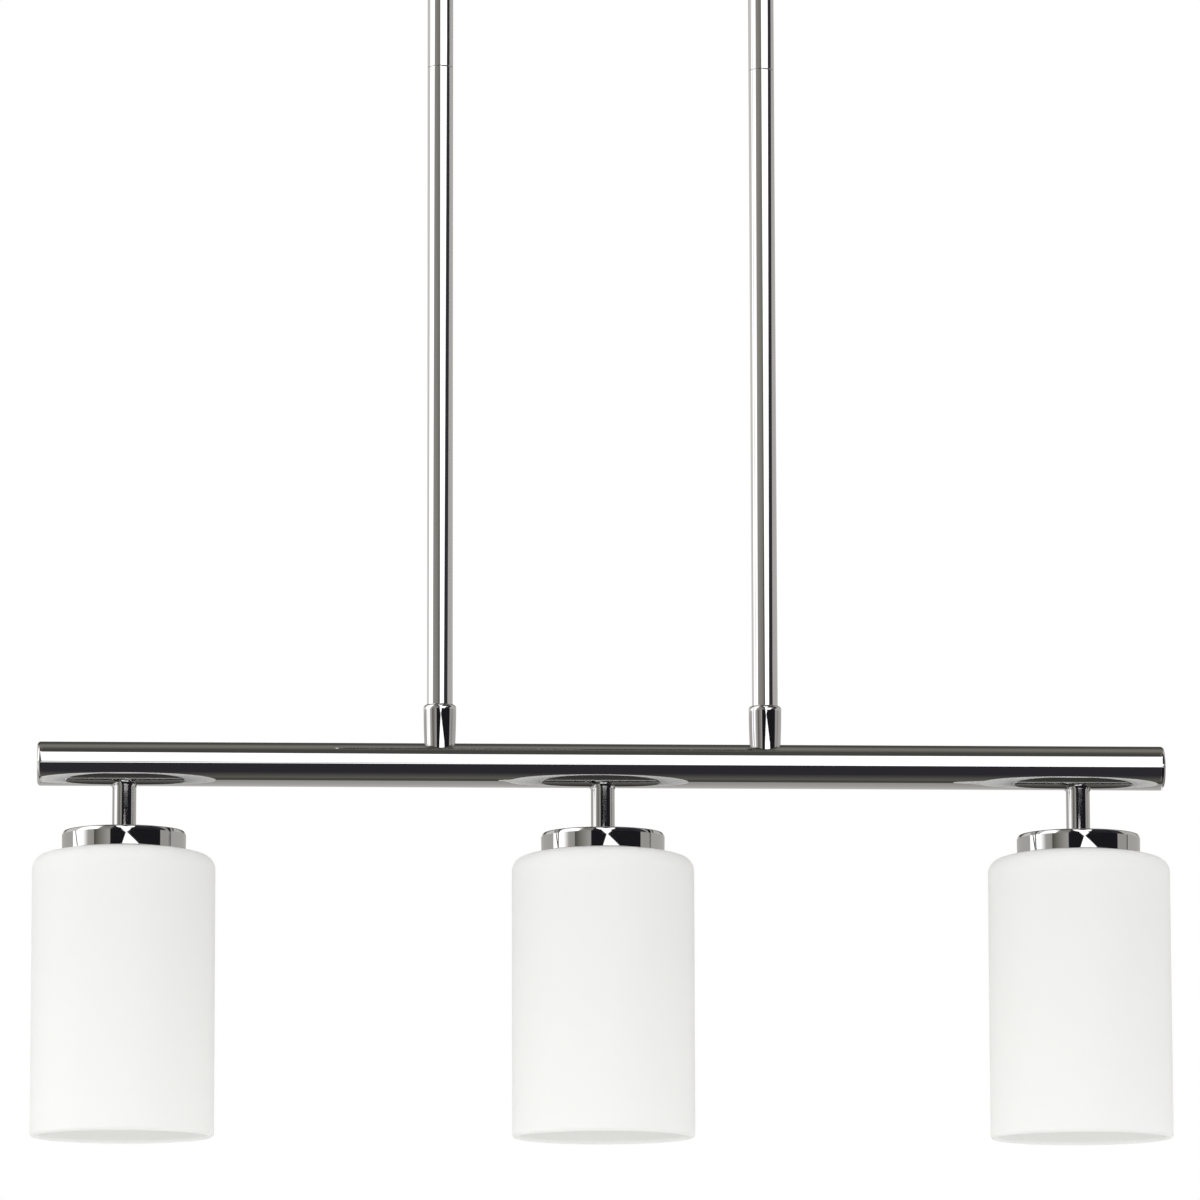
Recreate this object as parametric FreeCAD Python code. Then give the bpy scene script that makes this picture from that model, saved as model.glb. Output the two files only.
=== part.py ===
"""Linear island pendant: a chromed bar with three opal glass shades, hung from a ceiling canopy by two rods.

All sizes are millimetres.  X runs along the bar, Z is up and the ceiling is the plane z = 0.
The two rods hang from ball swivels in the canopy, so the whole frame swings about the line through the balls.
Each lamp head clamps its glass between a pressed cup and a ring on the lampholder.
"""

import FreeCAD
import Part

import math
import os

Vector = FreeCAD.Vector
UP = Vector(0, 0, 1)

# ---------------------------------------------------------------- driving sizes
# bar
bar_diameter = 30.0
bar_length = 768.0
bar_wall = 1.5
end_cap_thickness = 3.2
end_cap_edge_radius = 2.4
end_cap_spigot_length = 8.0

# rods
rod_spacing = 222.0
rod_diameter = 17.6
rod_wall = 1.25
lower_rod_length = 457.2
upper_rod_length = 152.4
rod_end_plug = 13.0
rod_edge_chamfer = 0.35
rod_foot_above_bar = 13.0
collar_diameter = 22.4
collar_height = 26.5

# threaded nipples and their nuts, all of the same thread
thread_diameter = 10.0
wire_way_diameter = 6.6
nipple_engagement = 11.0
nut_width = 14.0
nut_height = 5.0
nipple_past_nut = 0.6
saddle_washer_width = 2.0

# lamp heads
head_from_bar_end = 59.0
stem_diameter = 16.2
stem_wall = 1.5
stem_length = 31.2
stem_fillet = 2.2
stem_end_plug = 13.0
cup_diameter = 84.0
cup_height = 14.0
cup_wall = 1.2
cup_edge_radius = 2.6

# glass shade
glass_diameter = 124.0
glass_height = 193.0
glass_wall = 5.0
glass_shoulder_radius = 10.5
glass_shoulder_slope = 22.0
glass_seat_margin = 0.4
glass_hole_diameter = 41.0

# lampholder, screw shell and clamping ring
holder_diameter = 38.6
holder_height = 50.0
holder_neck_diameter = 27.0
holder_neck_height = 7.0
holder_shoulder_drop = 2.9
holder_mouth_chamfer = 1.0
shell_diameter = 27.6
shell_thickness = 0.4
shell_length = 27.0
shell_lip_width = 3.0
contact_diameter = 9.0
contact_thickness = 0.6
contact_rise = 4.0
contact_stalk = 2.0
ring_height = 11.0
ring_wall = 2.2
ring_flange_diameter = 56.0
ring_flange_thickness = 2.2
washer_thickness = 1.0
washer_inside_flange = 1.0

# bulb
bulb_diameter = 60.0
bulb_length = 108.0
bulb_glass_wall = 0.8
bulb_neck_diameter = 29.0
bulb_throat_length = 6.0
base_diameter = 26.2
base_length = 25.0
base_tip_diameter = 10.0
base_tip_height = 3.2
base_wall = 0.5
base_tip_edge = 1.0
base_end_width = 3.0
base_end_height = 2.0

# canopy and ceiling strap
canopy_length = 340.0
canopy_width = 114.0
canopy_depth = 30.0
canopy_wall = 1.2
canopy_corner_radius = 18.0
canopy_edge_radius = 5.0
strap_length = 300.0
strap_width = 26.0
strap_thickness = 1.6
box_screw_spacing = 88.9
slot_length = 18.0
slot_width = 4.8
stud_spacing = 280.0
stud_diameter = 4.8
stud_nut_width = 8.0
stud_nut_height = 3.2
cap_nut_diameter = 12.0
cap_nut_height = 13.0
cap_nut_skirt = 4.0
cap_nut_waist = 0.8
stud_below_canopy = 8.0
ground_screw_x = 78.0
ground_screw_diameter = 4.0
ground_head_diameter = 8.0
ground_head_height = 2.4
ground_slot_width = 1.2
ground_slot_depth = 1.2

# ball swivels
ball_diameter = 26.0
ball_below_ceiling = 28.5
ball_flat_height = 10.0
swivel_cup_diameter = 32.0
swivel_cup_depth = 7.0
swivel_flange_width = 3.0
swivel_flange_thickness = 2.2
swivel_ring_width = 5.0
swivel_ring_radius = 1.2
rod_below_ball = 20.0

# wiring
wire_diameter = 2.0
wire_bend_radius = 4.0
wire_fan_out = 14.0
wire_gap = 1.2
splice_length = 26.0
splice_wall = 1.2
splice_gap = 2.0
splice_x = -48.0
wire_in_splice = 7.0
connector_diameter = 12.0
connector_tail_diameter = 7.0
connector_length = 23.0
connector_skirt = 4.0
connector_mouth_x = -64.0
connector_y = 18.0
wire_in_connector = 9.0
canopy_wire_drop = 8.0

# clearances
slip = 0.05
ball_gap = 0.3
bulb_gap = 0.3
hole_clearance = 0.2

# ---------------------------------------------------------------- places worked out from the sizes
head_spacing = bar_length / 2 - head_from_bar_end
bar_radius = bar_diameter / 2
bar_bore_radius = bar_radius - bar_wall
rod_radius = rod_diameter / 2
stud_end_z = -canopy_depth - stud_below_canopy
thread_radius = thread_diameter / 2
thread_hole_radius = thread_radius + slip
wire_way_radius = wire_way_diameter / 2
wire_radius = wire_diameter / 2

ball_z = -ball_below_ceiling
rod_top_z = ball_z - rod_below_ball
rod_joint_z = rod_top_z - upper_rod_length
rod_foot_z = rod_joint_z - lower_rod_length
bar_z = rod_foot_z - rod_foot_above_bar - bar_radius
cup_top_z = bar_z - bar_radius - stem_length
glass_top_z = cup_top_z - cup_height
holder_top_z = cup_top_z - cup_wall
holder_mouth_z = holder_top_z - holder_height
bulb_seat_z = holder_mouth_z - bulb_gap
bulb_tip_z = bulb_seat_z + base_length + base_tip_height
contact_z = bulb_tip_z + bulb_gap
holder_floor_z = contact_z + contact_rise
glass_underside_z = glass_top_z - glass_wall
ring_top_z = glass_underside_z - washer_thickness

SIDES = {"left": -1, "right": 1}
HEADS = {"left": -1, "middle": 0, "right": 1}

# wires lie side by side: an inner lane next to the middle of the bar, an outer lane beside it
lane_in_bore = wire_radius + wire_gap / 2
splice_bore_radius = wire_diameter + 2 * slip
splice_radius = splice_bore_radius + splice_wall
splice_y = splice_radius + splice_gap / 2
connector_z = -canopy_depth + canopy_wall + connector_diameter / 2
inner_lane = splice_y - wire_radius - slip
outer_lane = splice_y + wire_radius + slip
# the splices lie on the bottom of the bar's bore, and the wires run level with them
lane_z = bar_z - math.sqrt((bar_bore_radius - splice_radius) ** 2 - splice_y**2)
WIRE_COLOURS = {"black": -1, "white": 1}


# ---------------------------------------------------------------- shapes that repeat
class Outline:
    """A closed outline of radius and height, drawn edge by edge and then turned about the Z axis."""

    def __init__(self, r, z):
        self.start = self.here = Vector(r, 0, z)
        self.edges = []

    def line(self, r, z):
        there = Vector(r, 0, z)
        self.edges.append(Part.LineSegment(self.here, there).toShape())
        self.here = there
        return self

    def round(self, r, z, centre_r, centre_z):
        """An arc of under half a circle about a centre."""
        centre, there = Vector(centre_r, 0, centre_z), Vector(r, 0, z)
        radius = (self.here - centre).Length
        way = (self.here - centre) + (there - centre)
        middle = centre + way.multiply(radius / way.Length)
        self.edges.append(Part.Arc(self.here, middle, there).toShape())
        self.here = there
        return self

    def turned(self, x=0.0):
        if not self.here.isEqual(self.start, 1e-6):
            self.line(self.start.x, self.start.z)
        solid = Part.Face(Part.Wire(self.edges)).revolve(Vector(0, 0, 0), UP, 360)
        solid.translate(Vector(x, 0, 0))
        return solid


def rod(radius, low_z, high_z, x=0.0, y=0.0):
    """An upright round rod."""
    return Part.makeCylinder(radius, high_z - low_z, Vector(x, y, low_z), UP)


def pipe(outer_radius, inner_radius, low_z, high_z, x=0.0):
    """An upright round tube."""
    return rod(outer_radius, low_z, high_z, x).cut(rod(inner_radius, low_z - 1, high_z + 1, x))


def along_bar(radius, start_x, end_x, y=0.0, z=bar_z):
    """A round rod that lies along the bar."""
    return Part.makeCylinder(radius, end_x - start_x, Vector(start_x, y, z), Vector(1, 0, 0))


def hex_nut(width, low_z, high_z, bore_radius, x):
    """An upright hexagon nut with its corners chamfered by a cone on both faces."""
    corner = width / math.sqrt(3)
    flats = Part.makePolygon([
        Vector(x + corner * math.cos(math.radians(60 * i)), corner * math.sin(math.radians(60 * i)), low_z)
        for i in range(7)
    ])
    nut = Part.Face(flats).extrude(UP * (high_z - low_z))
    bevel = corner - width / 2
    rim = Outline(0, low_z).line(width / 2, low_z).line(corner, low_z + bevel)
    rim = rim.line(corner, high_z - bevel).line(width / 2, high_z).line(0, high_z).turned(x)
    return nut.common(rim).cut(rod(bore_radius, low_z - 1, high_z + 1, x))


def wire(points):
    """An insulated wire through the points, with its corners rounded."""
    points = [Vector(*p) for p in points]
    edges, start = [], points[0]
    for before, corner, after in zip(points, points[1:], points[2:]):
        back, ahead = (before - corner).normalize(), (after - corner).normalize()
        half_turn = (math.pi - back.getAngle(ahead)) / 2
        reach = wire_bend_radius * math.tan(half_turn)
        centre = corner + (back + ahead).normalize() * (wire_bend_radius / math.cos(half_turn))
        middle = centre + (corner - centre).normalize() * wire_bend_radius
        arc_start, arc_end = corner + back * reach, corner + ahead * reach
        edges.append(Part.LineSegment(start, arc_start).toShape())
        edges.append(Part.Arc(arc_start, middle, arc_end).toShape())
        start = arc_end
    edges.append(Part.LineSegment(start, points[-1]).toShape())
    first = (points[1] - points[0]).normalize()
    section = Part.Wire([Part.makeCircle(wire_radius, points[0], first)])
    return Part.Wire(edges).makePipeShell([section], True, False)


def together(solids):
    return Part.makeCompound(list(solids))


# ---------------------------------------------------------------- canopy and ceiling strap
def rounded_block(length, width, depth, corner_radius, edge_radius):
    """A block under z = 0 with round corners and a rounded lower edge."""
    block = Part.makeBox(length, width, depth, Vector(-length / 2, -width / 2, -depth))
    upright = [e for e in block.Edges if abs(e.tangentAt(e.FirstParameter).z) > 0.9]
    block = block.makeFillet(corner_radius, upright)
    lower = [e for e in block.Edges if abs(e.BoundBox.ZMax + depth) < 1e-6]
    return block.makeFillet(edge_radius, lower)


def canopy():
    """The pressed pan that covers the ceiling box, open to the ceiling."""
    shell = rounded_block(canopy_length, canopy_width, canopy_depth, canopy_corner_radius, canopy_edge_radius)
    hollow = rounded_block(
        canopy_length - 2 * canopy_wall,
        canopy_width - 2 * canopy_wall,
        canopy_depth - canopy_wall,
        canopy_corner_radius - canopy_wall,
        canopy_edge_radius - canopy_wall,
    )
    shell = shell.cut(hollow)
    for side in SIDES.values():
        swivel_hole = swivel_cup_diameter / 2 + hole_clearance
        stud_hole = stud_diameter / 2 + hole_clearance
        shell = shell.cut(rod(swivel_hole, -canopy_depth - 1, 0, side * rod_spacing / 2))
        shell = shell.cut(rod(stud_hole, -canopy_depth - 1, 0, side * stud_spacing / 2))
    return shell


def ceiling_strap():
    """The steel strap that screws to the ceiling box and carries the canopy on two studs."""
    end = strap_width / 2
    strap = Part.makeBox(
        strap_length - strap_width, strap_width, strap_thickness,
        Vector(end - strap_length / 2, -end, -strap_thickness),
    )
    for side in SIDES.values():
        strap = strap.fuse(rod(end, -strap_thickness, 0, side * (strap_length / 2 - end)))
    strap = strap.removeSplitter()
    slot_run = slot_length - slot_width
    for side in SIDES.values():
        middle = side * box_screw_spacing / 2
        strap = strap.cut(rod(stud_diameter / 2 + slip, -strap_thickness - 1, 1, side * stud_spacing / 2))
        slot = Part.makeBox(
            slot_run, slot_width, strap_thickness + 2,
            Vector(middle - slot_run / 2, -slot_width / 2, -strap_thickness - 1),
        )
        for end_side in SIDES.values():
            slot = slot.fuse(rod(slot_width / 2, -strap_thickness - 1, 1, middle + end_side * slot_run / 2))
        strap = strap.cut(slot)
    return strap.cut(rod(ground_screw_diameter / 2 + slip, -strap_thickness - 1, 1, ground_screw_x))


def canopy_studs():
    return together(rod(stud_diameter / 2, stud_end_z, 0, side * stud_spacing / 2) for side in SIDES.values())


def stud_nuts():
    """The nuts that lock the studs to the strap."""
    low_z, high_z = -strap_thickness - stud_nut_height, -strap_thickness
    return together(
        hex_nut(stud_nut_width, low_z, high_z, stud_diameter / 2 + slip, side * stud_spacing / 2)
        for side in SIDES.values()
    )


def cap_nuts():
    """The domed nuts under the canopy: a straight skirt, a waist and a round end over a blind thread."""
    bore, skirt = stud_diameter / 2 + slip, cap_nut_diameter / 2
    dome = skirt - cap_nut_waist
    top_z, skirt_z, tip_z = -canopy_depth, -canopy_depth - cap_nut_skirt, -canopy_depth - cap_nut_height
    bore_end_z = stud_end_z - slip
    nut = Outline(bore, top_z).line(skirt, top_z).line(skirt, skirt_z).line(dome, skirt_z - cap_nut_waist)
    nut = nut.line(dome, tip_z + dome).round(0, tip_z, 0, tip_z + dome).line(0, bore_end_z)
    nut = nut.line(bore, bore_end_z).turned()
    return together(nut.translated(Vector(side * stud_spacing / 2, 0, 0)) for side in SIDES.values())


def ground_screw():
    """The screw on the strap for the earth wire, with a slot across its head."""
    head_z = -strap_thickness - ground_head_height
    head = rod(ground_head_diameter / 2, head_z, -strap_thickness, ground_screw_x)
    slot = Part.makeBox(
        ground_head_diameter, ground_slot_width, ground_slot_depth,
        Vector(ground_screw_x - ground_head_diameter / 2, -ground_slot_width / 2, head_z),
    )
    shank = rod(ground_screw_diameter / 2, -strap_thickness, 0, ground_screw_x)
    return head.cut(slot).fuse(shank)


# ---------------------------------------------------------------- ball swivels
def swivel_cup(x):
    """The turned cup that holds a ball: a flange inside the canopy, a thread through it and a round seat."""
    seat, body = ball_diameter / 2 + ball_gap, swivel_cup_diameter / 2
    flange = body + swivel_flange_width
    inside_z = -canopy_depth + canopy_wall
    flange_top_z = inside_z + swivel_flange_thickness
    low_z = ball_z - swivel_cup_depth
    mouth = math.sqrt(seat**2 - swivel_cup_depth**2)
    cup = Outline(seat, ball_z).round(mouth, low_z, 0, ball_z).line(body, low_z).line(body, inside_z)
    cup = cup.line(flange, inside_z).line(flange, flange_top_z).line(seat, flange_top_z)
    return cup.turned(x)


def swivel_ring(x):
    """The ring nut that clamps the cup from under the canopy."""
    bore = swivel_cup_diameter / 2 + slip
    edge, top_z = bore + swivel_ring_width, -canopy_depth
    low_z = ball_z - swivel_cup_depth
    r = swivel_ring_radius
    ring = Outline(bore, low_z).line(edge - r, low_z).round(edge, low_z + r, edge - r, low_z + r)
    return ring.line(edge, top_z).line(bore, top_z).turned(x)


def swivel_ball(x):
    """The ball and its threaded neck, bored for the wires and cut flat on top."""
    radius = ball_diameter / 2
    flat_z = ball_z + ball_flat_height
    flat_radius = math.sqrt(radius**2 - ball_flat_height**2)
    neck_z = ball_z - math.sqrt(radius**2 - thread_radius**2)
    low_z = rod_top_z - nipple_engagement
    ball = Outline(wire_way_radius, low_z).line(thread_radius, low_z).line(thread_radius, neck_z)
    ball = ball.round(radius, ball_z, 0, ball_z).round(flat_radius, flat_z, 0, ball_z)
    return ball.line(wire_way_radius, flat_z).turned(x)


# ---------------------------------------------------------------- rods
def threaded_tube(radius, wall, low_z, high_z, x):
    """A rod of the pendant: a tube closed down to a thread at both ends, with its edges broken."""
    chamfer, hollow = rod_edge_chamfer, radius - wall
    tube = Outline(thread_hole_radius, low_z).line(radius - chamfer, low_z).line(radius, low_z + chamfer)
    tube = tube.line(radius, high_z - chamfer).line(radius - chamfer, high_z).line(thread_hole_radius, high_z)
    tube = tube.line(thread_hole_radius, high_z - rod_end_plug).line(hollow, high_z - rod_end_plug)
    return tube.line(hollow, low_z + rod_end_plug).line(thread_hole_radius, low_z + rod_end_plug).turned(x)


def upper_rod(x):
    return threaded_tube(rod_radius, rod_wall, rod_joint_z, rod_top_z, x)


def lower_rod(x):
    return threaded_tube(rod_radius, rod_wall, rod_foot_z, rod_joint_z, x)


def rod_nipple(x):
    """The threaded tube hidden in the joint of two rods."""
    low_z, high_z = rod_joint_z - nipple_engagement, rod_joint_z + nipple_engagement
    return pipe(thread_radius, wire_way_radius, low_z, high_z, x)


def rod_collar(x):
    """The collar that a rod stands in: a round shoulder, a floor and a saddle that fits the bar."""
    bore, edge = rod_radius + slip, collar_diameter / 2
    shoulder = edge - bore
    top_z = bar_z + bar_radius + collar_height
    collar = Outline(thread_hole_radius, bar_z).line(edge, bar_z).line(edge, top_z - shoulder)
    collar = collar.round(bore, top_z, bore, top_z - shoulder).line(bore, rod_foot_z)
    collar = collar.line(thread_hole_radius, rod_foot_z).turned(x)
    return collar.cut(along_bar(bar_radius, x - bar_diameter, x + bar_diameter))


def bar_nut_top_z():
    """The nut's corners, with a margin, still fit under the curved wall."""
    return bar_z + bar_bore_radius - nut_height


def bar_nipple(x):
    """The threaded tube that ties a rod to the bar."""
    low_z = bar_nut_top_z() - nut_height - nipple_past_nut
    return pipe(thread_radius, wire_way_radius, low_z, rod_foot_z + nipple_engagement, x)


def bar_nut(x):
    return hex_nut(nut_width, bar_nut_top_z() - nut_height, bar_nut_top_z(), thread_hole_radius, x)


def saddle_washer(x):
    """The thick washer between the nut and the inside of the bar, curved on top."""
    edge = nut_width / 2 + saddle_washer_width
    washer = pipe(edge, thread_hole_radius, bar_nut_top_z(), bar_z + bar_radius, x)
    return washer.common(along_bar(bar_bore_radius, x - bar_diameter, x + bar_diameter))


# ---------------------------------------------------------------- bar
def main_bar():
    """The long tube, drilled for the two rods on top and for the wires of the heads below."""
    half = bar_length / 2 - end_cap_thickness
    tube = along_bar(bar_radius, -half, half).cut(along_bar(bar_bore_radius, -half - 1, half + 1))
    rod_hole, wire_hole = thread_radius + hole_clearance, stem_diameter / 2 - stem_wall
    for side in SIDES.values():
        tube = tube.cut(rod(rod_hole, bar_z, bar_z + bar_diameter, side * rod_spacing / 2))
    for place in HEADS.values():
        tube = tube.cut(rod(wire_hole, bar_z - bar_diameter, bar_z, place * head_spacing))
    return tube


def bar_end_cap(side):
    """The plug that closes the bar: a disc with a rounded edge and a hollow spigot."""
    r, thick = end_cap_edge_radius, end_cap_thickness
    spigot = bar_bore_radius - slip
    cap = Outline(0, 0).line(bar_radius, 0).line(bar_radius, thick - r)
    cap = cap.round(bar_radius - r, thick, bar_radius - r, thick - r).line(0, thick).turned()
    cap = cap.fuse(pipe(spigot, spigot - bar_wall, -end_cap_spigot_length, 0)).removeSplitter()
    cap.rotate(Vector(0, 0, 0), Vector(0, 1, 0), 90 * side)
    cap.translate(Vector(side * (bar_length / 2 - thick), 0, bar_z))
    return cap


# ---------------------------------------------------------------- lamp heads
def head_stem(x):
    """The short tube brazed under the bar, with a polished fillet round its saddle and a threaded foot."""
    radius, hollow = stem_diameter / 2, stem_diameter / 2 - stem_wall
    bar = along_bar(bar_radius, x - bar_diameter, x + bar_diameter)
    joined = bar.fuse(rod(radius, cup_top_z, bar_z, x))
    saddle = [
        e for e in joined.Edges
        if e.BoundBox.ZMin > bar_z - bar_radius - 0.01 and e.BoundBox.ZMax < bar_z
        and e.BoundBox.XLength < stem_diameter + 1 and e.BoundBox.YLength < stem_diameter + 1
    ]
    stem = joined.makeFillet(stem_fillet, saddle).cut(bar)
    plug_z = cup_top_z + stem_end_plug
    return stem.cut([rod(hollow, plug_z, bar_z, x), rod(thread_hole_radius, cup_top_z - 1, plug_z + 1, x)])


def head_nipple(x):
    """The threaded tube through the cup that ties the lampholder to the stem."""
    low_z = holder_top_z - holder_neck_height
    return pipe(thread_radius, wire_way_radius, low_z, cup_top_z + nipple_engagement, x)


def shade_cup(x):
    """The pressed cup over the glass, open below."""
    radius, wall, r = cup_diameter / 2, cup_wall, cup_edge_radius
    hole = thread_radius + hole_clearance
    cup = Outline(hole, cup_top_z).line(radius - r, cup_top_z)
    cup = cup.round(radius, cup_top_z - r, radius - r, cup_top_z - r).line(radius, glass_top_z)
    cup = cup.line(radius - wall, glass_top_z).line(radius - wall, cup_top_z - r)
    cup = cup.round(radius - r, cup_top_z - wall, radius - r, cup_top_z - r)
    return cup.line(hole, cup_top_z - wall).turned(x)


def lampholder(x):
    """The insulating lampholder, with a neck for the nipple and a deep bore for the screw shell."""
    outer, bore = holder_diameter / 2, shell_diameter / 2 + slip
    neck, neck_z = holder_neck_diameter / 2, holder_top_z - holder_neck_height
    edge = holder_mouth_chamfer
    holder = Outline(thread_hole_radius, holder_top_z).line(neck, holder_top_z).line(neck, neck_z)
    holder = holder.line(outer, neck_z - holder_shoulder_drop).line(outer, holder_mouth_z + edge)
    holder = holder.line(outer - edge, holder_mouth_z).line(bore, holder_mouth_z).line(bore, holder_floor_z)
    holder = holder.line(wire_way_radius, holder_floor_z)
    return holder.line(wire_way_radius, neck_z).line(thread_hole_radius, neck_z).turned(x)


def screw_shell(x):
    """The thin brass shell that the bulb screws into."""
    outer, inner = shell_diameter / 2, shell_diameter / 2 - shell_thickness
    high_z = holder_floor_z - slip
    low_z = high_z - shell_length
    lip = inner - shell_lip_width
    shell = Outline(outer, low_z).line(outer, high_z).line(lip, high_z).line(lip, high_z - shell_thickness)
    return shell.line(inner, high_z - shell_thickness).line(inner, low_z).turned(x)


def centre_contact(x):
    """The sprung brass contact: a stalk and a dished button."""
    radius, stalk = contact_diameter / 2, wire_way_radius - slip
    top_z, button_z = holder_floor_z + contact_stalk, contact_z + contact_thickness
    contact = Outline(0, top_z).line(stalk, top_z).line(stalk, button_z).line(radius, button_z)
    return contact.line(radius, contact_z).line(0, contact_z).turned(x)


def shade_washer(x):
    """The soft washer between the glass and the ring."""
    outer = ring_flange_diameter / 2 - washer_inside_flange
    return pipe(outer, glass_hole_diameter / 2, ring_top_z, glass_underside_z, x)


def shade_ring(x):
    """The flanged ring that threads onto the lampholder and presses the glass up against the cup."""
    bore = holder_diameter / 2 + slip
    skirt, flange = bore + ring_wall, ring_flange_diameter / 2
    ring = Outline(bore, ring_top_z).line(flange, ring_top_z).line(flange, ring_top_z - ring_flange_thickness)
    ring = ring.line(skirt, ring_top_z - ring_flange_thickness).line(skirt, ring_top_z - ring_height)
    return ring.line(bore, ring_top_z - ring_height).turned(x)


def glass_shade(x):
    """The opal glass: a flat seat with a hole, a gently domed shoulder and a fire-polished rim."""
    outer, inner = glass_diameter / 2, glass_diameter / 2 - glass_wall
    rim, hole = glass_wall / 2, glass_hole_diameter / 2
    seat = cup_diameter / 2 + glass_seat_margin
    low_z = glass_top_z - glass_height
    # a wide arc leaves the seat level and meets the tight arc of the corner on a shared slope
    slope = math.radians(glass_shoulder_slope)
    corner_r = outer - glass_shoulder_radius
    dome = (corner_r + glass_shoulder_radius * math.sin(slope) - seat) / math.sin(slope)
    dome_z = glass_top_z - dome
    corner_z = dome_z + (dome - glass_shoulder_radius) * math.cos(slope)

    def joint(depth):
        """Where the two arcs meet, at a depth under the outside."""
        reach = glass_shoulder_radius - depth
        return corner_r + reach * math.sin(slope), corner_z + reach * math.cos(slope)

    glass = Outline(hole, glass_top_z).line(seat, glass_top_z).round(*joint(0), seat, dome_z)
    glass = glass.round(outer, corner_z, corner_r, corner_z).line(outer, low_z + rim)
    glass = glass.round(outer - rim, low_z, outer - rim, low_z + rim)
    glass = glass.round(inner, low_z + rim, outer - rim, low_z + rim).line(inner, corner_z)
    glass = glass.round(*joint(glass_wall), corner_r, corner_z).round(seat, glass_underside_z, seat, dome_z)
    return glass.line(hole, glass_underside_z).turned(x)


# ---------------------------------------------------------------- bulbs
def bulb_glass(x):
    """The frosted envelope: a ball drawn up into a neck, hollow and open at the top."""
    ball, neck, wall = bulb_diameter / 2, bulb_neck_diameter / 2, bulb_glass_wall
    low_z = bulb_tip_z - bulb_length
    ball_mid_z = low_z + ball
    throat = base_diameter / 2 - base_wall - slip
    throat_z = bulb_seat_z + bulb_throat_length
    # the flank leaves the ball on a tangent and runs up to the neck
    rise = bulb_seat_z - ball_mid_z
    angle = math.atan2(rise, neck) - math.acos(ball / math.hypot(neck, rise))

    def flank(radius):
        """Where the flank leaves the ball."""
        return radius * math.cos(angle), ball_mid_z + radius * math.sin(angle)

    hollow = ball - wall
    glass = Outline(0, low_z).round(ball, ball_mid_z, 0, ball_mid_z).round(*flank(ball), 0, ball_mid_z)
    glass = glass.line(neck, bulb_seat_z).line(throat, bulb_seat_z).line(throat, throat_z)
    glass = glass.line(throat - wall, throat_z).line(throat - wall, bulb_seat_z).line(*flank(hollow))
    return glass.round(hollow, ball_mid_z, 0, ball_mid_z).round(0, low_z + wall, 0, ball_mid_z).turned(x)


def bulb_base(x):
    """The bulb's screw cap, with its insulated end and contact button."""
    radius, tip, edge = base_diameter / 2, base_tip_diameter / 2, base_tip_edge
    inner, end_r = radius - base_wall, radius - base_end_width
    end_z = bulb_tip_z - base_tip_height
    base = Outline(0, bulb_tip_z).line(tip - edge, bulb_tip_z).line(tip, bulb_tip_z - edge).line(end_r, end_z)
    base = base.line(radius, end_z - base_end_height).line(radius, bulb_seat_z).line(inner, bulb_seat_z)
    floor_z = end_z - 2 * base_wall
    base = base.line(inner, end_z - base_end_height - base_wall).line(end_r - base_wall, floor_z)
    return base.line(0, floor_z).turned(x)


# ---------------------------------------------------------------- wiring
def lamp_leads(x):
    """The two wires of a head, from the lampholder up its stem and along the bar to the splices."""
    leads = []
    way = 1 if splice_x > x else -1
    lane = outer_lane if x else inner_lane
    end_x = splice_x - way * (splice_length / 2 - wire_in_splice)
    shift = way * wire_fan_out
    for colour_side in WIRE_COLOURS.values():
        leads.append(wire([
            (x, colour_side * lane_in_bore, holder_floor_z + contact_stalk),
            (x, colour_side * lane_in_bore, lane_z),
            (x + shift, colour_side * lane, lane_z),
            (end_x, colour_side * lane, lane_z),
        ]))
    return together(leads)


def wire_splices():
    """The two crimped sleeves in the bar where the wires of the heads meet the supply."""
    low_x, high_x = splice_x - splice_length / 2, splice_x + splice_length / 2
    sleeves = []
    for colour_side in WIRE_COLOURS.values():
        y = colour_side * splice_y
        sleeve = along_bar(splice_radius, low_x, high_x, y, lane_z)
        sleeves.append(sleeve.cut(along_bar(splice_bore_radius, low_x - 1, high_x + 1, y, lane_z)))
    return together(sleeves)


def supply_leads():
    """The two wires from the splices up the left rod to the flat top of its ball."""
    rod_x = -rod_spacing / 2
    start_x = splice_x - splice_length / 2 + wire_in_splice
    leads = []
    for colour_side in WIRE_COLOURS.values():
        leads.append(wire([
            (start_x, colour_side * inner_lane, lane_z),
            (rod_x + wire_fan_out, colour_side * inner_lane, lane_z),
            (rod_x, colour_side * lane_in_bore, lane_z),
            (rod_x, colour_side * lane_in_bore, ball_z + ball_flat_height),
        ]))
    return together(leads)


def canopy_leads():
    """The two wires in the canopy, from above the ball, over the swivel's flange and into the connectors."""
    ball_x = -rod_spacing / 2
    start_z = ball_z + ball_diameter / 2 + ball_gap
    down_x = connector_mouth_x - wire_fan_out
    leads = []
    for colour_side in WIRE_COLOURS.values():
        leads.append(wire([
            (ball_x, colour_side * lane_in_bore, start_z),
            (ball_x, colour_side * lane_in_bore, -canopy_wire_drop),
            (down_x, colour_side * connector_y, -canopy_wire_drop),
            (down_x, colour_side * connector_y, connector_z),
            (connector_mouth_x + wire_in_connector, colour_side * connector_y, connector_z),
        ]))
    return together(leads)


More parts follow.
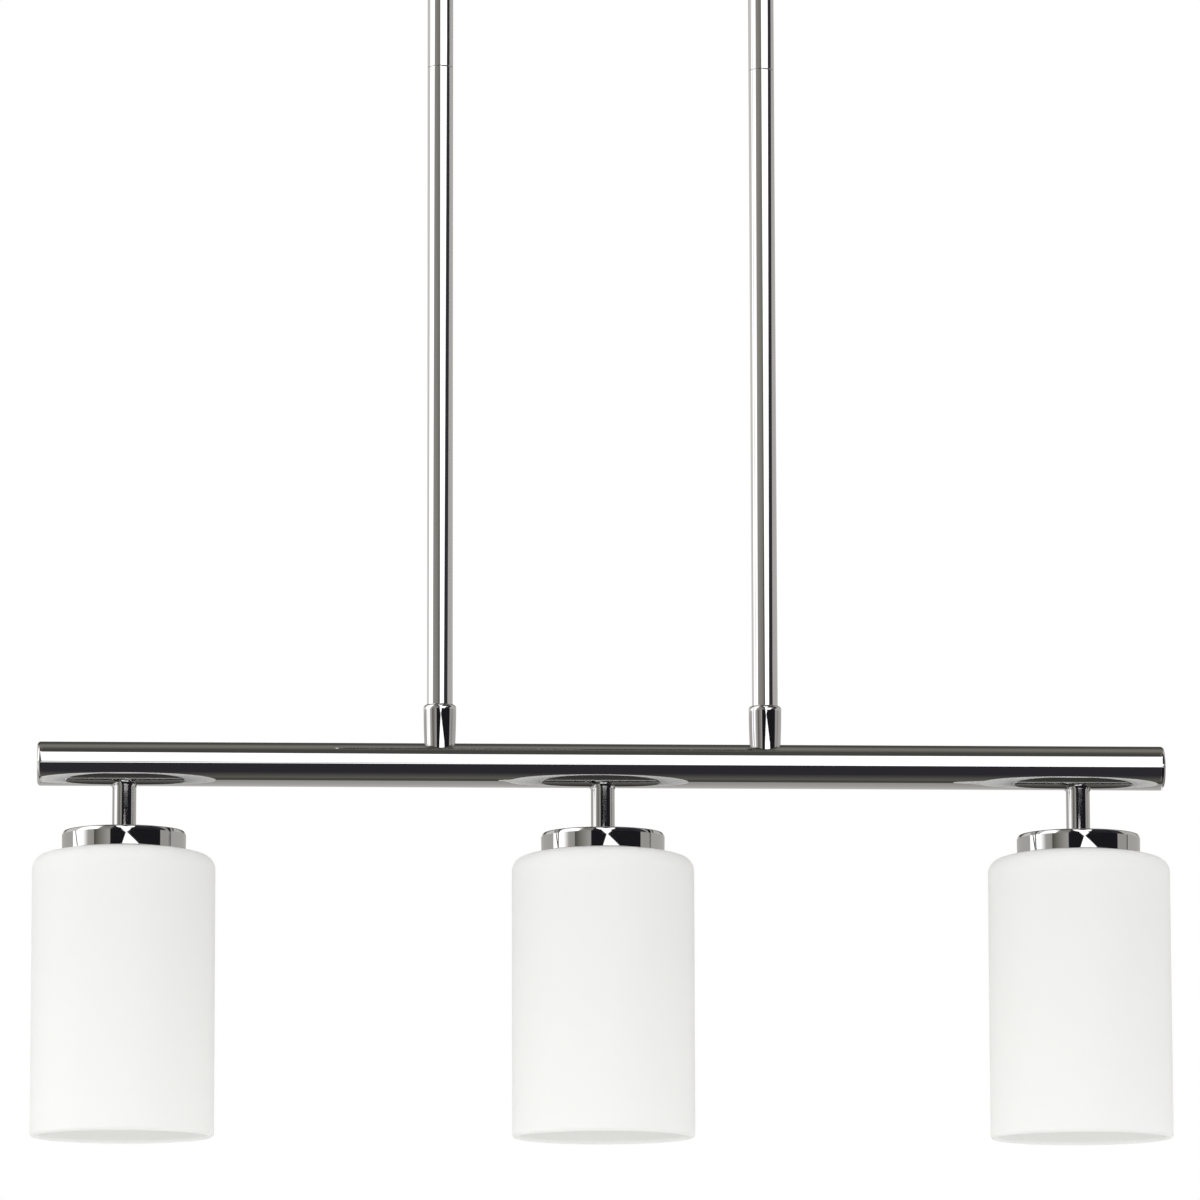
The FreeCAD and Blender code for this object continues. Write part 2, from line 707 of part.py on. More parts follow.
def wire_connectors():
    """The two twist-on connectors on the canopy's floor: tapered caps with a blind hole for the wires."""
    mouth, tail = connector_diameter / 2, connector_tail_diameter / 2
    bore = wire_radius + slip
    cap = Outline(bore, 0).line(mouth, 0).line(mouth, connector_skirt)
    cap = cap.line(tail, connector_length).line(0, connector_length).line(0, wire_in_connector)
    cap = cap.line(bore, wire_in_connector).turned()
    cap.rotate(Vector(0, 0, 0), Vector(0, 1, 0), 90)
    caps = []
    for colour_side in WIRE_COLOURS.values():
        caps.append(cap.translated(Vector(connector_mouth_x, colour_side * connector_y, connector_z)))
    return together(caps)


# ---------------------------------------------------------------- the whole pendant
def pieces():
    """Every piece by name."""
    rods = [side * rod_spacing / 2 for side in SIDES.values()]
    heads = [place * head_spacing for place in HEADS.values()]
    made = {part.__name__: part() for part in (
        canopy, ceiling_strap, canopy_studs, stud_nuts, cap_nuts, ground_screw,
        canopy_leads, wire_connectors, main_bar, wire_splices, supply_leads,
    )}
    for name, side in SIDES.items():
        made["bar_end_cap_" + name] = bar_end_cap(side)
        for part in (swivel_cup, swivel_ring, swivel_ball, upper_rod, lower_rod, rod_collar):
            made[part.__name__ + "_" + name] = part(side * rod_spacing / 2)
    for name, place in HEADS.items():
        for part in (
            head_stem, shade_cup, lampholder, screw_shell, glass_shade, shade_ring, bulb_glass, bulb_base,
        ):
            made[part.__name__ + "_" + name] = part(place * head_spacing)
    # small pieces that are alike share a name
    for part in (rod_nipple, bar_nipple, bar_nut, saddle_washer):
        made[part.__name__ + "s"] = together(part(x) for x in rods)
    for part in (head_nipple, centre_contact, shade_washer):
        made[part.__name__ + "s"] = together(part(x) for x in heads)
    made["lamp_leads"] = together(lead for x in heads for lead in lamp_leads(x).Solids)
    return made


def main():
    os.makedirs("parts", exist_ok=True)
    for name, shape in pieces().items():
        assert shape.isValid(), name
        shape.exportStep(os.path.join("parts", name + ".step"))


main()
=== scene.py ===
import math

import bmesh
import bpy
from mathutils import Matrix, Quaternion, Vector


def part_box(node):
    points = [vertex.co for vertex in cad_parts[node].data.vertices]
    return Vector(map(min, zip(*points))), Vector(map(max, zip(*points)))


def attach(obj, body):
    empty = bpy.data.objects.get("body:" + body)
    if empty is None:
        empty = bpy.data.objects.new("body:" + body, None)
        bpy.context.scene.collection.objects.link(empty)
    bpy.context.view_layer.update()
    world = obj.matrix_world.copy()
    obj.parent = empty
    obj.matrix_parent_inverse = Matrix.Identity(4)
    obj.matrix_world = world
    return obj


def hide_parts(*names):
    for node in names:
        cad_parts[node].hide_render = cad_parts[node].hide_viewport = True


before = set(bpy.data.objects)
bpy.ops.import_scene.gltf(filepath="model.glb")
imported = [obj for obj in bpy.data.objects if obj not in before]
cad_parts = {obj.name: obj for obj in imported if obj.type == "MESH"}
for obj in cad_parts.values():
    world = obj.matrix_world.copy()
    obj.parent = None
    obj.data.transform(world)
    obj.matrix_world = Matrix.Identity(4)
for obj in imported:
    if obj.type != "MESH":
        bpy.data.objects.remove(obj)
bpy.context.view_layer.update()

MM = 0.001
SIDES = {"left": -1, "right": 1}
HEADS = ("left", "middle", "right")


# ---------------------------------------------------------------- sizes read from the frame, in millimetres
class Span:
    """The lowest and highest corner of a node, with its middle and its radius seen from above."""

    def __init__(self, node):
        self.node = node
        low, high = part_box(node)
        self.low, self.high = Vector(low) / MM, Vector(high) / MM
        self.mid = (self.low + self.high) / 2
        self.size = self.high - self.low
        self.radius = self.size.x / 2


bar = Span("main_bar")
bar_radius = bar.size.z / 2
bar_z = bar.mid.z
bar_top, bar_belly = bar_z + bar_radius, bar_z - bar_radius

# ---------------------------------------------------------------- finishing sizes that the frame doesn't hold
# bar and its end caps
bar_wall = 1.5
end_cap_thickness = 3.2
end_cap_edge = 2.4
end_cap_seam = 0.05
spigot_length = 6.4
spigot_slip = 0.1
bar_steps = 160

# rods and collars
edge_break = 0.35
rod_end_width = 2.0
rod_slip = 0.05
collar_foot = 0.6
collar_lean = 0.0094
collar_belly = 0.0338
collar_steps = 128

# stems and cups
stem_radius = 8.1
stem_wall = 1.5
stem_fillet = 2.2
stem_fillet_sink = 0.2
stem_fillet_lead = 6.0
stem_steps = 128
cup_wall = 1.2
cup_hole_radius = 5.2
cup_belly = 0.2
cup_bevel_radius = 9.0
cup_bevel_start, cup_bevel_end = math.radians(14.0), math.radians(28.0)
cup_edge = 1.4
cup_corner_depth = 2.6
cup_land = 0.1
cup_rim = 0.3
cup_steps = 192

# glass shades
glass_wall = 5.0
glass_shoulder = 10.5
glass_slope = math.radians(22.0)
glass_seat_margin = 0.4
glass_seat_width = 4.0
glass_hole_radius = 20.5
glass_hole_edge = 1.0
glass_hole_seam = 1.5
glass_steps = 192

# lampholders, screw shells and clamping rings
holder_hole_radius = 5.1
holder_neck_radius = 13.5
holder_neck_height = 7.0
holder_bore_radius = 13.85
holder_depth = 32.0
holder_slope = 0.5
holder_edge = 0.6
holder_chamfer = 1.0
holder_thread_pitch = 2.5
holder_thread_depth = 0.7
shell_thickness = 0.4
shell_lip_width = 3.0
shell_wave = 0.15
ring_bore_radius = 19.35
ring_skirt_radius = 21.55
ring_flange_thickness = 2.2
ring_edge = 0.4
ring_hollow = 0.8
ring_chamfer = 0.5
ring_grip_drop = 1.2
ring_grip_depth = 0.35
ring_grips = 24
ring_steps = 192

# bulbs
bulb_neck_radius = 14.5
bulb_neck_wall = 2.0
bulb_waist = 1.6
bulb_flank_steps = 12
thread_pitch = 3.6
thread_depth = 0.8
thread_step = 0.45
thread_run_in = 3.0
thread_run_out = 1.0
base_shoulder_drop = 5.2
base_edge = 0.6
base_rim = 0.5
glass_bead_width, glass_bead_drop = 3.0, 3.2
button_radius = 5.0
button_side_drop = 1.4
button_foot_drop = 1.6
button_flat_radius, button_flat_drop = 3.0, 0.1
button_round_radius, button_round_drop = 3.4, 1.8

# canopy, swivels and cap nuts
ceiling_z = 0.0
canopy_wall = 1.2
canopy_corner = 18.0
canopy_least_corner = 2.0
canopy_edge = 5.0
canopy_edge_steps = 10
canopy_hold = 0.01
canopy_floor_border = 3.0
swivel_bore_radius = 16.05
swivel_edge = 1.2
swivel_rim = 0.4
swivel_land = 0.9
swivel_notch_top = 1.0
swivel_notch_depth = 0.3
swivel_notches = 30
swivel_steps = 240
ball_flat_height = 10.0
ball_neck_radius = 5.0
wire_way_radius = 3.3
nut_bore_radius = 2.45
nut_bore_depth = 7.9
nut_skirt = 4.0
nut_waist = 0.8
nut_edge = 0.3
nut_knurl_depth = 0.25
nut_knurls = 32
nut_knurl_top = 0.5
nut_knurl_foot = 0.4
nut_steps = 192

# how the outlines are turned
same_place = 1e-6
weld_distance = 1e-4
hold_length = 0.12
long_stretch = 3.0
skin_depth = 0.1
groove_skin = 0.05
round_steps = 96

# tones of the studio as metal sees it, where 1 is white
soft_light = 1.9
backdrop_tone = 0.53
left_flag_tone = 0.12
black_flag_tone = 0.016
right_flag_tone = 0.45
dark_line_tone = 0.05
under_bar_tone = 0.09
floor_tone = 0.42
rear_tone = 0.44
high_left_tone = 0.80
high_right_tone = 0.61
grey_flag_tone = 0.42
narrow_flag_tone = 0.06
drifting_flag_tone = 0.045
behind_flags_tone = 0.03
ceiling_tone = 0.085
room_strength = 1.10

# directions in the studio: a part along the bar, then degrees round
mirrored_middle = 0.054
lens_middle, lens_reach = 4.5, 29

# the tint of the chrome's mirror image, from dark to light
chrome_tints = (
    (0.0, (0.96, 0.90, 1.14)), (0.022, (0.98, 0.92, 1.10)), (0.05, (1.03, 1.03, 0.85)),
    (0.12, (1.03, 1.0, 0.88)), (0.24, (1.025, 0.995, 0.95)), (0.45, (1.02, 0.99, 0.97)),
    (0.7, (1.0, 1.0, 1.0)),
)

# lamps, floor and camera, in metres
lamp_width = 2.0
floor_size = 60.0
floor_z = -9.5
camera_x, camera_y = -0.2712, -4.9308
camera_below_bar = 0.6396
camera_yaw, camera_pitch, camera_roll = math.radians(3.13), math.radians(8.682), math.radians(-0.142)
focal_pixels, frame_pixels = 7309.0, 1200.0


# ---------------------------------------------------------------- shader maths
class Field:
    """A shader socket that can be added, multiplied and compared in Python."""

    def __init__(self, tree, socket):
        self.tree, self.socket = tree, socket

    def _math(self, operation, other=None, swap=False):
        ends = [self, other] if other is not None else [self]
        if swap:
            ends.reverse()
        return self.tree.node("ShaderNodeMath", {"operation": operation}, dict(enumerate(ends)))

    def __add__(self, other):
        return self._math("ADD", other)

    def __sub__(self, other):
        return self._math("SUBTRACT", other)

    def __rsub__(self, other):
        return self._math("SUBTRACT", other, swap=True)

    def __mul__(self, other):
        return self._math("MULTIPLY", other)

    def __truediv__(self, other):
        return self._math("DIVIDE", other)

    def __gt__(self, other):
        return self._math("GREATER_THAN", other)

    def __neg__(self):
        return self * -1.0

    __radd__ = __add__
    __rmul__ = __mul__

    def clamped(self):
        return self._math("MAXIMUM", 0.0)._math("MINIMUM", 1.0)

    def larger(self, other):
        return self._math("MAXIMUM", other)

    def size(self):
        return self._math("ABSOLUTE")


class Tree:
    """A node tree with one call that makes any node."""

    def __init__(self, owner):
        owner.use_nodes = True
        self.nodes, self.links = owner.node_tree.nodes, owner.node_tree.links
        self.nodes.clear()

    def node(self, kind, settings=None, values=None, out=0):
        """Makes a node, with its settings first, and returns one of its outputs if it has any."""
        made = self.nodes.new(kind)
        for name, value in (settings or {}).items():
            if name == "stops":
                self._stops(made.color_ramp, value)
            else:
                setattr(made, name, value)
        for key, value in (values or {}).items():
            socket = made.inputs[key]
            if isinstance(value, Field):
                self.links.new(value.socket, socket)
            else:
                socket.default_value = value
        return Field(self, made.outputs[out]) if made.outputs else None

    def _stops(self, ramp, stops):
        while len(ramp.elements) < len(stops):
            ramp.elements.new(0.5)
        for element, (place, colour) in zip(ramp.elements, stops):
            element.position, element.color = place, opaque(colour)

    def finish(self, shader, kind="ShaderNodeOutputMaterial"):
        self.node(kind, None, {"Surface": shader})

    # fields used by several finishes
    def place(self):
        return self.node("ShaderNodeTexCoord", out="Object")

    def noise(self, scale, detail=3.0, roughness=0.5, stretch=None):
        where = self.place()
        if stretch:
            where = self.node("ShaderNodeMapping", None, {"Vector": where, "Scale": stretch})
        return self.node(
            "ShaderNodeTexNoise", None,
            {"Vector": where, "Scale": scale, "Detail": detail, "Roughness": roughness},
        )

    def mix(self, share, first, second):
        return self.node(
            "ShaderNodeMix", {"data_type": "RGBA"}, {0: share, 6: opaque(first), 7: opaque(second)}, out=2,
        )

    def bump(self, height, depth_mm):
        return self.node(
            "ShaderNodeBump", None, {"Height": height, "Distance": depth_mm * MM, "Strength": 1.0},
        )

    def surface(self, **values):
        named = {key.replace("_", " "): value for key, value in values.items()}
        return self.node("ShaderNodeBsdfPrincipled", None, named)


def opaque(colour):
    return (*colour, 1.0)


def finish(name):
    """Starts a material: the decorated function gets its tree and returns its shader."""
    def make(build):
        material = bpy.data.materials.new(name)
        tree = Tree(material)
        tree.finish(build(tree))
        return material
    return make


# ---------------------------------------------------------------- finishes
@finish("polished_chrome")
def chrome(tree):
    ripple = tree.noise(34.0, 1.5)
    haze = tree.noise(260.0, 4.0, 0.65)
    wiped = tree.noise(900.0, 2.0, 0.6, stretch=(1.0, 1.0, 0.12))
    return tree.surface(
        Base_Color=tree.mix(haze, (0.600, 0.600, 0.605), (0.640, 0.640, 0.640)), Metallic=1.0,
        Roughness=0.012 + haze * 0.016 + wiped * 0.008, Normal=tree.bump(ripple, 0.02),
    )


@finish("opal_glass")
def opal(tree):
    cloud = tree.noise(18.0, 3.0)
    etch = tree.noise(2600.0, 3.0, 0.7)
    tone = tree.mix(cloud, (0.925, 0.925, 0.910), (0.950, 0.950, 0.938))
    grain = tree.bump(etch, 0.03)
    skin = tree.surface(Base_Color=tone, Roughness=0.42 + etch * 0.16, IOR=1.5, Normal=grain)
    body = opaque((0.938, 0.938, 0.924))
    through = tree.node("ShaderNodeBsdfTranslucent", None, {"Color": body, "Normal": grain})
    return tree.node("ShaderNodeMixShader", None, {0: 0.30 + cloud * 0.06, 1: skin, 2: through})


@finish("frosted_bulb")
def frosted(tree):
    grain = tree.noise(1800.0, 2.0, 0.6)
    return tree.surface(
        Base_Color=tree.mix(grain, (0.90, 0.89, 0.86), (0.94, 0.93, 0.91)), Roughness=0.38 + grain * 0.1,
        Subsurface_Weight=0.2, Subsurface_Radius=(0.006, 0.006, 0.005), Subsurface_Scale=0.5,
        Normal=tree.bump(grain, 0.015),
    )


@finish("nickelled_base")
def nickel(tree):
    scuff = tree.noise(500.0, 4.0, 0.7)
    return tree.surface(
        Base_Color=tree.mix(scuff, (0.66, 0.65, 0.62), (0.78, 0.77, 0.74)), Metallic=1.0,
        Roughness=0.2 + scuff * 0.2, Normal=tree.bump(scuff, 0.01),
    )


@finish("shell_brass")
def brass(tree):
    tarnish = tree.noise(240.0, 4.0, 0.6)
    return tree.surface(
        Base_Color=tree.mix(tarnish, (0.78, 0.58, 0.26), (0.62, 0.44, 0.20)), Metallic=1.0,
        Roughness=0.22 + tarnish * 0.25, Normal=tree.bump(tarnish, 0.01),
    )


@finish("zinc_plate")
def zinc(tree):
    spangle = tree.node("ShaderNodeTexVoronoi", None, {"Vector": tree.place(), "Scale": 260.0})
    fine = tree.noise(900.0, 3.0)
    return tree.surface(
        Base_Color=tree.mix(spangle, (0.50, 0.51, 0.52), (0.66, 0.66, 0.65)), Metallic=1.0,
        Roughness=0.3 + spangle * 0.2, Normal=tree.bump(fine, 0.01),
    )


@finish("phenolic")
def phenolic(tree):
    fleck = tree.noise(700.0, 4.0, 0.7)
    return tree.surface(
        Base_Color=tree.mix(fleck, (0.018, 0.016, 0.015), (0.035, 0.032, 0.03)),
        Roughness=0.28 + fleck * 0.14, Normal=tree.bump(fleck, 0.01),
    )


@finish("ring_enamel")
def enamel(tree):
    orange_peel = tree.noise(420.0, 2.0)
    return tree.surface(
        Base_Color=tree.mix(orange_peel, (0.80, 0.80, 0.78), (0.85, 0.85, 0.83)),
        Roughness=0.26 + orange_peel * 0.1, Normal=tree.bump(orange_peel, 0.02),
    )


@finish("silicone")
def silicone(tree):
    bloom = tree.noise(600.0, 3.0)
    return tree.surface(
        Base_Color=tree.mix(bloom, (0.66, 0.66, 0.64), (0.74, 0.74, 0.72)),
        Roughness=0.6 + bloom * 0.2, Normal=tree.bump(bloom, 0.02),
    )


@finish("wire_cover")
def wire_cover(tree):
    """Black in front of the pendant's middle plane and white behind it."""
    side = tree.node("ShaderNodeSeparateXYZ", None, {"Vector": tree.place()}, out="Y")
    drawn = tree.noise(1500.0, 2.0)
    return tree.surface(
        Base_Color=tree.mix(side > 0.0, (0.02, 0.02, 0.02), (0.80, 0.79, 0.76)),
        Roughness=0.4 + drawn * 0.15, Normal=tree.bump(drawn, 0.01),
    )


@finish("connector_cap")
def connector_cap(tree):
    mould = tree.noise(800.0, 3.0)
    return tree.surface(
        Base_Color=tree.mix(mould, (0.72, 0.27, 0.03), (0.80, 0.33, 0.05)),
        Roughness=0.42 + mould * 0.15, Normal=tree.bump(mould, 0.02),
    )


@finish("pale_floor")
def pale_floor(tree):
    return tree.surface(
        Base_Color=tree.mix(tree.noise(2.0), (0.91, 0.91, 0.91), (0.94, 0.94, 0.94)), Roughness=0.9,
    )


# ---------------------------------------------------------------- meshes
def mesh_piece(name, shape, body, material, node):
    """Turns a bmesh in millimetres into a smooth piece that rides on its body and stands for its node."""
    bmesh.ops.remove_doubles(shape, verts=shape.verts, dist=weld_distance)
    bmesh.ops.recalc_face_normals(shape, faces=shape.faces)
    bmesh.ops.scale(shape, vec=(MM, MM, MM), verts=shape.verts)
    for face in shape.faces:
        face.smooth = True
    mesh = bpy.data.meshes.new(name)
    shape.to_mesh(mesh)
    shape.free()
    mesh.materials.append(material)
    piece = bpy.data.objects.new(name, mesh)
    bpy.context.scene.collection.objects.link(piece)
    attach(piece, body)
    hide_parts(node)


class Outline:
    """A radius and height outline in runs; the edge between two runs stays sharp when it is turned."""

    def __init__(self, radius, height):
        self.runs = [[(radius, height)]]

    def line(self, radius, height):
        """A straight stretch that starts at a sharp edge."""
        self.runs.append([self.runs[-1][-1], (radius, height)])
        return self

    def on(self, radius, height):
        """A straight stretch that stays smooth with what comes before it."""
        self._hold(self.runs[-1][-1], (radius, height))
        self.runs[-1].append((radius, height))
        return self

    def wall(self, radius, height, step):
        """An upright stretch with points in between, so that it can be bent or wound."""
        start = self.runs[-1][-1][1]
        count = max(2, round(abs(height - start) / step))
        for number in range(1, count + 1):
            self.runs[-1].append((radius, start + (height - start) * number / count))
        return self

    def round(self, radius, height, centre_radius, centre_height, steps):
        """A smooth arc that joins the run before it; a long wall before it stays straight up to the arc."""
        last = self.runs[-1][-1]
        if len(self.runs[-1]) > 1:
            self.runs[-1].pop()
            self._hold(last, self.runs[-1][-1])
            self.runs[-1].append(last)
        start = math.atan2(last[1] - centre_height, last[0] - centre_radius)
        turn = math.atan2(height - centre_height, radius - centre_radius) - start
        turn = (turn + math.pi) % (2 * math.pi) - math.pi
        reach = math.hypot(last[0] - centre_radius, last[1] - centre_height)
        for number in range(1, steps + 1):
            angle = start + turn * number / steps
            point = centre_radius + reach * math.cos(angle), centre_height + reach * math.sin(angle)
            self.runs[-1].append(point)
        return self

    def _hold(self, near, far):
        """A point a hair away from one end of a long straight stretch keeps its shading flat."""
        length = math.dist(near, far)
        if length > long_stretch:
            share = hold_length / length
            self.runs[-1].append(tuple(here + (there - here) * share for here, there in zip(near, far)))

    def turned(self, shift=None, steps=round_steps):
        """Turns the outline about the Z axis. shift moves a point, given its angle, radius and height."""
        shape = bmesh.new()
        beside = [(place + 1) % steps for place in range(steps)]

        def ring(radius, height):
            if abs(radius) < same_place:
                return [shape.verts.new((0, 0, height))] * steps
            verts = []
            for place in range(steps):
                angle = 2 * math.pi * place / steps
                out, up = shift(angle, radius, height) if shift else (radius, height)
                verts.append(shape.verts.new((out * math.cos(angle), out * math.sin(angle), up)))
            return verts

        first = last = ring(*self.runs[0][0])
        closed = math.dist(self.runs[0][0], self.runs[-1][-1]) < same_place
        for run in self.runs:
            for point in run[1:]:
                ends_here = closed and run is self.runs[-1] and point is run[-1]
                here = first if ends_here else ring(*point)
                for place, after in enumerate(beside):
                    corners = dict.fromkeys((last[place], last[after], here[after], here[place]))
                    if len(corners) > 2:
                        shape.faces.new(corners)
                last = here
            if last[0] is not last[1]:
                for place, after in enumerate(beside):
                    edge = shape.edges.get((last[place], last[after]))
                    if edge:
                        edge.smooth = False
        return shape


def moved(shape, x, z=0.0):
    bmesh.ops.translate(shape, vec=(x, 0.0, z), verts=shape.verts)
    return shape


def turned_piece(name, outline, span, material, body="hanging_frame", shift=None, steps=round_steps):
    """A turned piece on the upright axis of the node that it stands for."""
    mesh_piece(name, moved(outline.turned(shift, steps), span.mid.x), body, material, span.node)


def laid_along_x(shape, x, side=1):
    """Turns an upright shape so that its +Z points along the bar, towards one side."""
    quarter = Matrix.Rotation(side * math.pi / 2, 3, "Y")
    bmesh.ops.rotate(shape, cent=(0, 0, 0), matrix=quarter, verts=shape.verts)
    return moved(shape, x, bar_z)


def saddle_drop(angle, radius):
    """How far the bar's surface falls away from its crown, at a radius and angle round an upright axis."""
    return bar_radius - math.sqrt(bar_radius**2 - (radius * math.sin(angle)) ** 2)


def thread_wave(outside, pitch, depth, low, high):
    """Winds a round-bottomed thread in the outside wall, between two heights."""
    def shift(angle, radius, height):
        if radius <= outside - skin_depth or not low < height < high:
            return radius, height
        fade = min(1.0, (height - low) / pitch, (high - height) / pitch)
        wave = 0.5 - 0.5 * math.cos(2 * math.pi * (height / pitch) - angle)
        return radius - depth * fade * wave, height
    return shift


def groove(angle, count, power=2):
    """How deep an upright groove is at an angle, from 0 to 1, with the grooves spread round the piece."""
    return max(0.0, math.cos(count * angle)) ** power


# ---------------------------------------------------------------- bar and rods
def dress_bar():
    half, inside = bar.size.x / 2, bar_radius - bar_wall
    tube = Outline(inside, -half).line(bar_radius, -half).line(bar_radius, half)
    tube = tube.line(inside, half).line(inside, -half)
    shape = laid_along_x(tube.turned(steps=bar_steps), 0)
    mesh_piece("bar_tube", shape, "hanging_frame", chrome, "main_bar")
    thick, edge, spigot = end_cap_thickness, end_cap_edge, inside - spigot_slip
    for name, side in SIDES.items():
        cap = Outline(0, -spigot_length).line(spigot, -spigot_length).line(spigot, 0)
        cap = cap.line(bar_radius - end_cap_seam, 0).line(bar_radius, end_cap_seam * 2)
        cap = cap.line(bar_radius, thick - edge)
        cap = cap.round(bar_radius - edge, thick, bar_radius - edge, thick - edge, steps=14).on(0, thick)
        shape = laid_along_x(cap.turned(steps=bar_steps), side * half, side)
        mesh_piece("bar_end_" + name, shape, "hanging_frame", chrome, "bar_end_cap_" + name)


def dress_rod(node, name):
    span = Span(node)
    outside, low, high = span.radius, span.low.z, span.high.z
    inside, shoulder = outside - rod_end_width, outside - edge_break
    rod = Outline(inside, low).line(shoulder, low)
    rod = rod.round(outside, low + edge_break, shoulder, low + edge_break, steps=4)
    rod = rod.line(outside, high - edge_break).round(shoulder, high, shoulder, high - edge_break, steps=4)
    turned_piece(name, rod.line(inside, high).line(inside, low), span, chrome)


def dress_collar(side):
    span = Span("rod_collar_" + side)
    outside, bore = span.radius, Span("lower_rod_" + side).radius + rod_slip
    foot, wall_top = bar_top, span.high.z - (outside - bore)

    def saddle(angle, radius, height):
        """Bends the foot round the bar, and draws the wall in towards it."""
        if height < foot + collar_foot:
            height -= saddle_drop(angle, radius)
        down = max(0.0, wall_top - height)
        inset = collar_lean * down + collar_belly * down**2 / (2 * (wall_top - foot))
        return (radius - inset if radius > outside - skin_depth else radius), height

    collar = Outline(bore, foot).line(outside, foot).line(outside, foot + collar_foot)
    collar = collar.wall(outside, wall_top, step=1.5).round(bore, span.high.z, bore, wall_top, steps=12)
    collar = collar.line(bore, foot)
    turned_piece("collar_" + side, collar, span, chrome, shift=saddle, steps=collar_steps)


# ---------------------------------------------------------------- lamp heads
def dress_stem(head):
    span, foot = Span("head_stem_" + head), Span("shade_cup_" + head).high.z
    outside, inside, fillet = stem_radius, stem_radius - stem_wall, stem_fillet
    fillet_top = bar_belly + stem_fillet_sink

    def saddle(angle, radius, height):
        """Lifts the top round the bar's belly and leaves the foot flat."""
        share = (height - foot) / (fillet_top - foot)
        return radius, height + saddle_drop(angle, radius) * min(1.0, share)

    stem = Outline(inside, foot).line(outside, foot).line(outside, fillet_top - fillet - stem_fillet_lead)
    stem = stem.on(outside, fillet_top - fillet)
    stem = stem.round(outside + fillet, fillet_top, outside + fillet, fillet_top - fillet, steps=12)
    stem = stem.line(inside, fillet_top).line(inside, foot)
    turned_piece("stem_" + head, stem, span, chrome, shift=saddle, steps=stem_steps)


def dress_cup(head):
    span = Span("shade_cup_" + head)
    outside, top, low = span.radius, span.high.z, span.low.z
    hole, inside, corner = cup_hole_radius, outside - cup_wall, outside - cup_corner_depth
    bevel, edge = cup_bevel_radius, cup_edge
    across, up = math.cos(cup_bevel_end), math.sin(cup_bevel_end)
    edge_r = outside - bevel * (math.cos(cup_bevel_start) - across) - edge * across
    edge_z = top - edge
    bevel_r, bevel_z = edge_r + (edge - bevel) * across, edge_z + (edge - bevel) * up
    wall_top = bevel_z + bevel * math.sin(cup_bevel_start)

    def belly(angle, radius, height):
        """Draws the wall in a little towards its lower edge."""
        if radius < outside - cup_wall / 2 or height > wall_top:
            return radius, height
        return radius - cup_belly * ((wall_top - height) / (wall_top - low)) ** 2, height

    cup = Outline(hole, top).line(edge_r, top)
    cup = cup.round(edge_r + edge * across, edge_z + edge * up, edge_r, edge_z, steps=12)
    cup = cup.round(outside, wall_top, bevel_r, bevel_z, steps=8).line(outside, wall_top - cup_land)
    cup = cup.wall(outside, low + cup_rim, step=0.7).on(outside - cup_rim, low)
    cup = cup.line(inside, low).line(inside, top - cup_corner_depth)
    cup = cup.round(corner, top - cup_wall, corner, top - cup_corner_depth, steps=6)
    cup = cup.line(hole, top - cup_wall).line(hole, top)
    turned_piece("cup_" + head, cup, span, chrome, shift=belly, steps=cup_steps)


def dress_shade(head):
    span = Span("glass_shade_" + head)
    outside, top, low = span.radius, span.high.z, span.low.z
    wall, shoulder, rim = glass_wall, glass_shoulder, glass_wall / 2
    hole, edge, inside, ceiling = glass_hole_radius, glass_hole_edge, outside - wall, top - wall
    seat = Span("shade_cup_" + head).radius + glass_seat_margin
    corner_r, cos, sin = outside - shoulder, math.cos(glass_slope), math.sin(glass_slope)
    dome = (corner_r + shoulder * sin - seat) / sin
    dome_z = top - dome
    corner_z = dome_z + (dome - shoulder) * cos

    def joint(depth):
        """Where the dome meets the shoulder, at a depth in the wall."""
        return corner_r + (shoulder - depth) * sin, corner_z + (shoulder - depth) * cos

    glass = Outline(hole, top - glass_hole_seam).line(hole, top - edge)
    glass = glass.round(hole + edge, top, hole + edge, top - edge, steps=5)
    glass = glass.on(seat - glass_seat_width, top).on(seat, top).round(*joint(0), seat, dome_z, steps=16)
    glass = glass.round(outside, corner_z, corner_r, corner_z, steps=20)
    glass = glass.wall(outside, low + rim, step=12.0)
    glass = glass.round(inside, low + rim, outside - rim, low + rim, steps=20)
    glass = glass.wall(inside, corner_z, step=12.0).round(*joint(wall), corner_r, corner_z, steps=12)
    glass = glass.round(seat, ceiling, seat, dome_z, steps=12).on(hole + edge, ceiling)
    glass = glass.round(hole, ceiling + edge, hole + edge, ceiling + edge, steps=5)
    glass = glass.line(hole, top - glass_hole_seam)
    turned_piece("opal_shade_" + head, glass, span, opal, steps=glass_steps)


def dress_holder(head):
    span = Span("lampholder_" + head)
    outside, top, low = span.radius, span.high.z, span.low.z
    hole, neck, bore, floor = holder_hole_radius, holder_neck_radius, holder_bore_radius, low + holder_depth
    shoulder = top - holder_neck_height - (outside - neck) * holder_slope
    holder = Outline(hole, top).line(neck, top).line(neck, top - holder_neck_height)
    holder = holder.line(outside - holder_edge, shoulder).line(outside, shoulder - holder_edge)
    holder = holder.wall(outside, low + holder_chamfer, step=0.5).on(outside - holder_chamfer, low)
    holder = holder.line(bore, low).line(bore, floor).line(hole, floor).line(hole, top)
    thread = thread_wave(
        outside, holder_thread_pitch, holder_thread_depth, low + thread_run_in, shoulder - thread_run_out,
    )
    turned_piece("lampholder_body_" + head, holder, span, phenolic, shift=thread)


